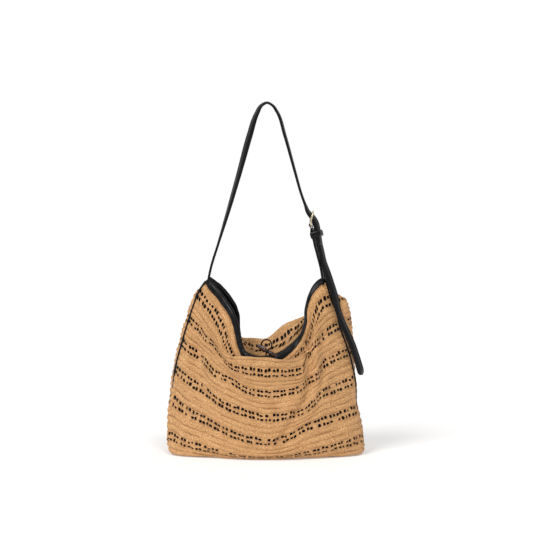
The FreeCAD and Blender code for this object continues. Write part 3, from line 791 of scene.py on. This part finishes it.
front_rows = FRONT_ROWS + [(TOP, [pair[0] for pair in FRONT_EDGE])]
back_rows = BACK_ROWS + [(TOP, [pair[0] for pair in BACK_EDGE])]
crochet("front_crochet", front_rows, ("front_panel",), 1.0, FOLDS)
crochet("back_crochet", back_rows, ("back_panel",), -1.0)
base_crochet()

# ---------------------------------------------------------------- lining and pocket

LINING_GAP = 5.0
LINING_FLOOR = 6.8
TUCK = 0.4
SLACK = 5.0


def inner_sheet(rows, edge, outward, gap, shares, levels, straight_from, folds=()):
    """The inside of a panel: the smooth sheet moved inwards, tucked into the mouth binding."""
    grid = surface(rows, shares, levels)
    soft = sum(fold_height(grid[..., 0], grid[..., 2], *fold) for fold in folds)
    grid = grid + normals(grid) * outward * np.expand_dims(soft + np.zeros(grid.shape[:2]), 2)
    seam = np.clip(np.minimum(shares, 1 - shares) / 0.05, 0.2, 1)[None, :, None]
    grid = grid - normals(grid) * outward * gap * seam
    inner = np.array([np.array(a) * (1 - TUCK) + np.array(b) * TUCK for a, b in edge])
    rim = hermite(chord([a for a, _ in edge]), inner, shares)
    start = hermite(levels, grid, [straight_from])[0]
    for j, level in enumerate(levels):
        if level > straight_from:
            t = (level - straight_from) / (levels[-1] - straight_from)
            slack = np.array((0, SLACK * math.sin(math.pi * t) * outward, 0))
            grid[j] = start * (1 - t) + rim * t + slack
    return grid


def make_lining():
    """The black lining: down the inside of the front, across the base and up the back."""
    columns = 110
    shares = np.linspace(0, 1, columns)
    levels = np.linspace(0.7, TOP, 60)
    front = inner_sheet(front_rows, FRONT_EDGE, 1.0, LINING_GAP, shares, levels, 5.0, FOLDS)
    back = inner_sheet(back_rows, BACK_EDGE, -1.0, LINING_GAP, shares, levels, 6.2)
    t = np.linspace(0, 1, 14)[1:-1, None, None]
    floor = front[0] * (1 - t) + back[0] * t
    floor[..., 2] = LINING_FLOOR + 0.5 * wobble(12, columns, 4, 9)
    sheet = np.concatenate([front[::-1], floor, back])
    piece("lining_cloth", sheet.reshape(-1, 3), grid_faces(len(sheet), columns).tolist(),
          LINING, "bag", "lining", ("lining",))


def make_pocket():
    """A slip pocket on the back lining, its hem a little open."""
    shares = np.linspace(0.33, 0.67, 40)
    levels = np.linspace(1.7, 3.4, 40)
    grid = surface(back_rows, shares, levels)
    rise = np.linspace(0, 1, 40)[:, None]
    swell = np.sin(np.pi * np.linspace(0, 1, 40))[None, :]
    grid = grid + normals(grid) * (LINING_GAP + 1.2 + 3.0 * rise * swell)[..., None]
    parts = Build()
    parts.add(grid, grid_faces(40, 40).tolist())
    turn = full_turn(8)
    hem = grid[-1][:, None, :] + np.stack(
        [0 * turn, 1.1 * np.cos(turn), 3.0 * np.sin(turn) - 2.6], -1)[None]
    parts.tube(hem)
    piece("slip_pocket_cloth", *parts.mesh(),
          LINING, "bag", "lining", ("slip_pocket",))


make_lining()
make_pocket()

# ---------------------------------------------------------------- leather trims

BINDING_PITCH = 4.2
BINDING_THREAD = 0.42
PIPING_RADIUS = 1.9


def binding(name, edge, thickness, replaced):
    """Leather folded over a mouth edge, with a line of stitches along its lower side."""
    stations = 260
    shares = np.linspace(0, 1, stations)
    knots = chord([a for a, _ in edge])
    low = hermite(knots, [a for a, _ in edge], shares)
    high = hermite(knots, [b for _, b in edge], shares)
    rise = high - low
    way = unit(np.gradient(low, axis=0))
    out = unit(np.cross(way, rise))
    half = thickness / 2
    section = [(-0.10, 0.50), (-0.02, 0.78), (0.10, 0.66), (0.22, 0.98), (0.42, 1.22), (0.62, 1.22),
               (0.80, 1.0), (0.93, 0.66), (1.0, 0.2), (1.0, -0.2), (0.93, -0.66), (0.80, -1.0),
               (0.62, -1.2), (0.42, -1.2), (0.22, -0.98), (-0.02, -0.75), (-0.10, -0.45)]
    pucker = 1 + 0.05 * wobble(stations, len(section), 70, 5)
    rings = np.stack([low + rise * b + out * (half * n) for b, n in section], 1)
    centre = rings.mean(1, keepdims=True)
    rings = centre + (rings - centre) * pucker[..., None]
    parts = Build()
    parts.tube(rings)
    length = np.linalg.norm(np.diff(low, axis=0), axis=1).sum()
    count = int(length / BINDING_PITCH)
    for side in (1.0, -1.0):
        line = low + rise * 0.10 + out * (half * 0.72 * side)
        marks = hermite(shares, line, np.linspace(0.02, 0.98, 2 * count))
        for k in range(0, 2 * count - 1, 2):
            parts.stitch(marks[k] - 0.2 * (marks[k + 1] - marks[k]), marks[k + 1], BINDING_THREAD)
    return piece(name, *parts.mesh(), LEATHER, "bag", "leather", replaced)


def piping(name, column, replaced):
    """A thin leather cord sewn into a side seam."""
    ends = [points[column] for _, points in front_rows]
    levels = [level for level, _ in front_rows]
    line = hermite(levels, np.array(ends, float), np.linspace(BOTTOM + 0.05, TOP, 160))
    way = unit(np.gradient(line, axis=0))
    side = unit(np.cross(way, (0, 1, 0)))
    other = np.cross(side, way)
    turn = full_turn(10)
    swell = PIPING_RADIUS * (1 + 0.06 * wobble(160, 2, 50, 2)[:, :1])
    rings = line[:, None] + swell[..., None] * (
        np.cos(turn)[None, :, None] * side[:, None] + np.sin(turn)[None, :, None] * other[:, None])
    parts = Build()
    parts.tube(rings)
    return piece(name, *parts.mesh(), LEATHER, "bag", "leather", replaced)


binding("front_mouth_leather", FRONT_EDGE, 5.0, ("front_mouth_binding",))
binding("back_mouth_leather", BACK_EDGE, 4.6, ("back_mouth_binding",))
piping("left_piping_leather", 0, ("left_seam_piping",))
piping("right_piping_leather", -1, ("right_seam_piping",))

# ---------------------------------------------------------------- strap, buckle strap and tail

STRAP_WIDTH = 20.0
STRAP_LOOK = 4.2
EDGE_ROUND = 1.1
STITCH_INSET = 2.2
STITCH_PITCH = 4.4
THREAD = 0.38

# The buckle leg: the short strap that rises from the right corner, leaning inwards by 14 degrees.
LEG_FOOT = (113, 373)
LEG_COS = 0.9703
LEG_SIN = 0.2419
LEG_TWIST = 22.0

# The buckle's bar on that leg, the strap's bend round it, and the thickness of one layer of the strap.
BAR_OUT = -0.5
BAR_UP = 95
BAR_BEND = 2.3
LAYER = 1.8


def ribbon(parts, line, twist, width, thickness, tip=0.0, inner=None, ends=(0.02, 0.98)):
    """A flat strap along a line in millimetres: twist turns it about the line, tip rounds its far end.
    With inner, only one half of the strap is made, from that far off its middle."""
    stations = len(line)
    way = unit(np.gradient(line, axis=0))
    side = unit(np.cross(np.cross(way, (0, 1, 0)), way))
    flat = np.cross(way, side)
    angle = np.radians(twist)[:, None]
    across = side * np.cos(angle) + flat * np.sin(angle)
    out = unit(np.cross(across, way))
    half = np.full(stations, width / 2)
    if tip:
        left = np.linalg.norm(np.diff(line, axis=0), axis=1)[::-1].cumsum()[::-1]
        left = np.append(left, 0.0)
        close = np.clip(1 - left / tip, 0, 1)
        half = half * np.sqrt(np.clip(1 - close**2, 0.004, 1))
    low = -half if inner is None else inner
    edge = 0.55
    deep = np.broadcast_to(thickness / 2, stations)[:, None]
    section = [(edge, 1.0), (1, 0.45), (1, -0.45), (edge, -1.0)]
    right = [(half - np.minimum(half, EDGE_ROUND) * (1 - a), b) for a, b in section]
    left = [(low + np.minimum(half, EDGE_ROUND) * (1 - a), b) for a, b in section[::-1]]
    rings = np.stack([line + across * a[:, None] + out * (deep * b) for a, b in right + left], 1)
    parts.tube(rings)
    length = np.linalg.norm(np.diff(line, axis=0), axis=1).sum()
    count = int(length / STITCH_PITCH)
    marks = np.linspace(ends[0], ends[1], 2 * count)
    share = chord(line)
    for edge_side in (1.0, -1.0):
        if inner is not None and edge_side < 0:
            continue
        for face in (1.0, -1.0):
            path = line + across * ((half - STITCH_INSET) * edge_side)[:, None] + out * (deep * 0.98 * face)
            places = hermite(share, path, marks)
            for k in range(0, 2 * count - 1, 2):
                parts.stitch(places[k], places[k + 1], THREAD)


def from_leg(outward, up, y=0.0):
    """A place on the buckle leg: outward from its middle and up along it."""
    x, z = LEG_FOOT
    return (x + LEG_COS * outward - LEG_SIN * up, y, z + LEG_SIN * outward + LEG_COS * up)


STRAP_LINE = [(-120, 2, 343), (-117, 1, 360), (-113.2, 0, 377), (-98.2, 0, 426), (-76, 0, 499),
              (-55, 0, 572), (-34.5, 0, 646), (-19.5, 0, 692), (-10.5, 0, 707.5), (1, 0, 713.2),
              (12, 0, 708), (21.7, 0, 694.5), (37.6, 0, 646), (58.1, 0, 572.5), (72.2, 0, 523.5),
              from_leg(-0.6, 133), from_leg(0.6, 123), from_leg(3.3, 116), from_leg(6.6, 109.5),
              from_leg(9.0, 102.5), from_leg(10.5, 95.5), from_leg(10.8, 89), from_leg(10.6, 83),
              from_leg(10.2, 76), from_leg(9.5, 66), from_leg(8.6, 52)]
STRAP_TWIST = [(0.0, 4), (0.06, 5), (0.13, 6), (0.19, 13), (0.25, 19), (0.30, 22), (0.35, 26), (0.40, 30),
               (0.44, 31), (0.48, 28), (0.52, 21), (0.56, 12), (0.60, 12), (0.70, 11), (0.78, 8), (0.85, 7),
               (0.875, 9), (0.905, 24), (0.93, 34), (0.96, 33), (1.0, 26)]
TAIL_LINE = [from_leg(8.6, 52), from_leg(8.2, 40), (116.2, -1, 389), (124, -6, 365), (131.8, -12, 340.5),
             (138.8, -19, 316.5), (143.7, -26, 292.6), (151.7, -31, 268.8), (162.4, -33, 244.8),
             (172.7, -32, 220.7), (181, -29, 196.4), (191.5, -24.5, 162)]
TAIL_TWIST = [(0.0, 26), (0.1, 31), (0.2, 38), (0.33, 38), (0.5, 34), (0.75, 37), (1.0, 39)]


def make_strap():
    """The long strap, from the left corner to where it lies in the buckle."""
    line = along(np.array(STRAP_LINE, float), np.linspace(0, 1, 320))
    knots, angles = zip(*STRAP_TWIST)
    twist = hermite(knots, angles, np.linspace(0, 1, 320))
    parts = Build()
    ribbon(parts, line, twist, STRAP_WIDTH, STRAP_LOOK)
    strap = piece("long_strap_leather", *parts.mesh(),
                  LEATHER, None, "leather", ("long_strap",))
    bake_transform(strap)


def make_tail():
    """The free end of the strap, twisting to face forwards as it hangs."""
    line = along(np.array(TAIL_LINE, float), np.linspace(0, 1, 150))
    knots, angles = zip(*TAIL_TWIST)
    twist = hermite(knots, angles, np.linspace(0, 1, 150))
    parts = Build()
    ribbon(parts, line, twist, STRAP_WIDTH, STRAP_LOOK, tip=11.0, ends=(0.02, 0.95))
    tail = piece("strap_tail_leather", *parts.mesh(),
                 LEATHER, None, "leather", ("strap_tail",))
    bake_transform(tail)


def make_buckle_strap():
    """The short strap: up from the right corner, round the buckle's bar and back on itself."""
    arc = np.radians(np.linspace(180, 0, 9))
    bar = [(BAR_OUT + BAR_BEND * math.cos(a), BAR_UP + BAR_BEND * math.sin(a)) for a in arc]
    path = [(-2.0, -30), (-0.9, -14), (0.3, 0), (0.3, 30), (-0.3, 60), (-0.9, 80), (-1.4, 89)]
    path += bar + [(1.8, 89), (1.5, 80), (1.7, 60)]
    points = np.array([from_leg(*p) for p in path])
    line = along(points, np.linspace(0, 1, 200))
    up = (line - np.array(from_leg(0, 0))) @ np.array((-LEG_SIN, 0, LEG_COS))
    slot = 3.2 * np.clip((up - 84) / 4, 0, 1)
    first = np.arange(len(line)) < np.argmax(up)
    twist = LEG_TWIST * np.clip((90 - up) / 9, 0, 1) * np.where(first, -1, 1)
    thickness = LAYER + 1.4 * np.clip((60 - up) / 8, 0, 1) * first
    parts = Build()
    ribbon(parts, line, twist, STRAP_WIDTH, thickness, inner=slot)
    ribbon(parts, line, twist + 180, STRAP_WIDTH, thickness, inner=slot)
    strap = piece("buckle_strap_leather", *parts.mesh(),
                  LEATHER, None, "leather", ("buckle_strap",))
    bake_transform(strap)


make_strap()
make_tail()
make_buckle_strap()

# ---------------------------------------------------------------- patches, hardware and closure

KEEPER_UP = 73.0
KEEPER_OUT = 7.0
KEEPER_REACH = 6.0
KEEPER_HALF_WIDTH = 10.6
KEEPER_WRAP = 2.8
FRAME_HALF_WIDTH = 12.5
FRAME_HEIGHT = 21
FRAME_LEAN = 10.0
FRAME_ARCH = 3.6
SQUARENESS = 0.32
TOGGLE_TILT = 31.6


def make_keeper():
    """The leather loop round the buckle strap and the long strap, leaning with both of them."""
    turn = math.radians(LEG_TWIST)
    across = np.array((math.sin(turn), math.cos(turn)))
    face = np.array((math.cos(turn), -math.sin(turn)))
    around = full_turn(72)
    side = np.sign(np.sin(around)) * np.abs(np.sin(around)) ** 0.3
    deep = np.sign(np.cos(around)) * np.abs(np.cos(around)) ** 0.45
    middle = np.stack([KEEPER_OUT + KEEPER_REACH * deep, 0 * deep], -1)
    section = [(-6.5, 0.3), (-5.6, 1.9), (-2.5, 2.3), (2.5, 2.3), (5.6, 2.1), (6.7, 0.6), (6.2, -0.1),
               (2.5, 0.1), (-2.5, 0.1), (-6.2, -0.1)]
    rings = []
    for height, thick in section:
        wide = side * (KEEPER_HALF_WIDTH + thick)
        flat = middle + across * wide[:, None] + face * (deep * (KEEPER_WRAP + thick))[:, None]
        tilt = 0.6 * deep
        rings.append([from_leg(out, KEEPER_UP + height + lift, y) for (out, y), lift in zip(flat, tilt)])
    parts = Build()
    parts.ring(np.array(rings, float).transpose(1, 0, 2))
    piece("keeper_leather", *parts.mesh(), LEATHER, "keeper", "leather",
          ("keeper_loop",))


def make_frame():
    """The buckle frame: a rounded loop of pale gold whose sides arch, and dip below its bar."""
    around = full_turn(120)
    y = FRAME_HALF_WIDTH * np.sign(np.cos(around)) * np.abs(np.cos(around)) ** SQUARENESS
    share = 0.5 + 0.5 * np.sign(np.sin(around)) * np.abs(np.sin(around)) ** SQUARENESS
    arch = FRAME_ARCH * np.sin(np.pi * share)
    past_strap = np.clip((np.abs(y) - 10.2) / 2.3, 0, 1)
    dip = past_strap * (1 - share)
    outward = FRAME_LEAN * share - 0.2 - arch + 1.2 * dip
    up = BAR_UP + FRAME_HEIGHT * share - 4.5 * dip
    line = np.array([from_leg(*place) for place in zip(outward, up, y)])
    way = unit(np.roll(line, -1, axis=0) - np.roll(line, 1, axis=0))
    out = unit(np.cross(way, np.cross((1.0, 0.0, 0.25), way)))
    other = np.cross(way, out)
    turn = full_turn(16)
    radius = (1.45 + 0.45 * np.clip(share * 4, 0, 1))[:, None, None]
    rings = line[:, None] + radius * (
        np.cos(turn)[None, :, None] * out[:, None] + 0.92 * np.sin(turn)[None, :, None] * other[:, None])
    parts = Build()
    parts.ring(rings)
    piece("buckle_frame_metal", *parts.mesh(), METAL, "strap", "metal",
          ("buckle_frame",))


def make_toggle():
    """The turned toggle: two long bellies, a waist between two collars and domed ends."""
    low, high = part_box("toggle")
    middle = (np.array(low) + np.array(high)) / 2 / MM
    tilt = math.radians(TOGGLE_TILT)
    way = np.array((math.cos(tilt), 0, -math.sin(tilt)))
    side = np.array((0.0, 1.0, 0.0))
    other = np.cross(way, side)
    profile = [(-23.3, 0.3), (-23.2, 1.8), (-22.4, 3.0), (-20.5, 3.8), (-16, 4.4), (-10, 4.9), (-6.4, 5.0),
               (-5.2, 4.6), (-4.6, 3.4), (-3.6, 3.0), (-2.6, 3.3), (0, 3.0)]
    profile += [(-along_axis, radius) for along_axis, radius in reversed(profile[:-1])]
    places = chord([(a, r, 0) for a, r in profile])
    fine = hermite(places, [(a, r) for a, r in profile], np.linspace(0, 1, 110))
    turn = full_turn(28)
    circle = np.cos(turn)[:, None] * side + np.sin(turn)[:, None] * other
    rings = middle + fine[:, 0][:, None, None] * way + fine[:, 1][:, None, None] * circle[None]
    parts = Build()
    parts.tube(rings)
    piece("toggle_horn", *parts.mesh(), HORN, "toggle", "horn", ("toggle",))


def make_anchor(name, sign, replaced):
    """The leather reinforcement inside a corner, where the strap's end is sewn in."""
    points = [(sign * 117.0, 0, 318), (sign * 115.5, 0, 336), (sign * 113.5, 0, 351)]
    line = along(points, np.linspace(0, 1, 24))
    parts = Build()
    ribbon(parts, line, np.zeros(24), 13.0, 2.0, ends=(0.06, 0.94))
    piece(name, *parts.mesh(), LEATHER, "bag", "leather", (replaced,))


def patch(name, node, replaced):
    """A small leather patch with rounded corners where a closure is sewn on."""
    low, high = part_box(node)
    middle = np.array((low + high) / 2) / MM
    size = np.array(high - low) / MM / 2
    turn = full_turn(32)
    squarer = (np.abs(np.cos(turn)) ** 4 + np.abs(np.sin(turn)) ** 4) ** -0.25
    outline = np.stack([np.cos(turn) * squarer * size[0], 0 * turn, np.sin(turn) * squarer * size[2]], -1)
    rings = [middle + outline * s + (0, size[1] * y, 0)
             for s, y in ((0.9, -1.0), (1.0, -0.4), (1.0, 0.4), (0.9, 1.0))]
    parts = Build()
    parts.tube(np.stack(rings))
    for k in range(0, 32, 2):
        place = middle + outline[k] * 0.75 + (0, -size[1], 0)
        parts.stitch(place, middle + outline[k + 1] * 0.75 + (0, -size[1], 0), 0.3)
    piece(name, *parts.mesh(), LEATHER, "bag", "leather", replaced)


def finish_node(name, material):
    """A CAD piece whose shape is right: it gets its material."""
    shape = nodes[name]
    shape.data.materials.clear()
    shape.data.materials.append(material)


patch("toggle_patch_leather", "toggle_tab", ("toggle_tab",))
patch("loop_patch_leather", "loop_tab", ("loop_tab",))
make_keeper()
make_frame()
make_toggle()
make_anchor("left_anchor_leather", -1, "left_strap_anchor")
make_anchor("right_anchor_leather", 1, "right_strap_anchor")
finish_node("buckle_prong", METAL)
finish_node("toggle_cord", LEATHER)
finish_node("closure_loop", LEATHER)
finish_node("base_board", BOARD)
